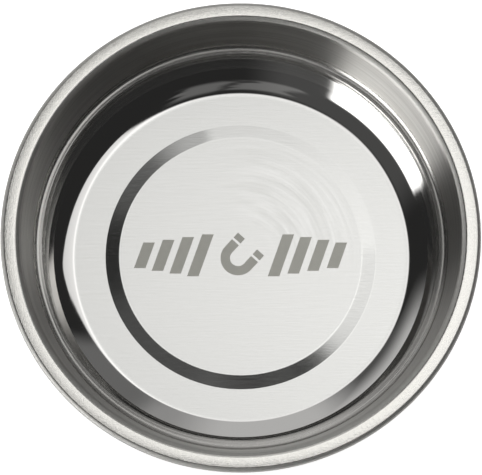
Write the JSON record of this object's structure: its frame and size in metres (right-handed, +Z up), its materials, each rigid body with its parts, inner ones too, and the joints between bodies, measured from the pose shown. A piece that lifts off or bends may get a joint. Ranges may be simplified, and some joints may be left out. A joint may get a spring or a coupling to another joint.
{
  "type": "magnetic parts dish",
  "caption": "Round stainless dish with a ledged bowl and a ring magnet in a rubber boot under its floor, for keeping small steel parts together.",
  "frame": {"origin": "centre of the rubber foot, on the plane the dish stands on", "axes": "+Z up the bowl's centre line, towards the open lip; +X and +Y are any two square directions of a round part"},
  "size_m": [0.108, 0.108, 0.033],
  "materials": {
    "stainless": "satin",
    "stud_steel": "satin",
    "foam": "matte",
    "ferrite": "matte",
    "plate_steel": "satin",
    "nylon": "satin",
    "rubber": "matte",
    "zinc_steel": "satin"
  },
  "bodies": {
    "root": {"dish": "stainless", "weld_stud": "stud_steel", "foam_pad": "foam", "ring_magnet": "ferrite", "backing_ring": "plate_steel", "spacer_bush": "nylon", "rubber_boot": "rubber", "flat_washer": "zinc_steel", "spring_washer": "zinc_steel", "hex_nut": "zinc_steel"}
  },
  "joints": []
}
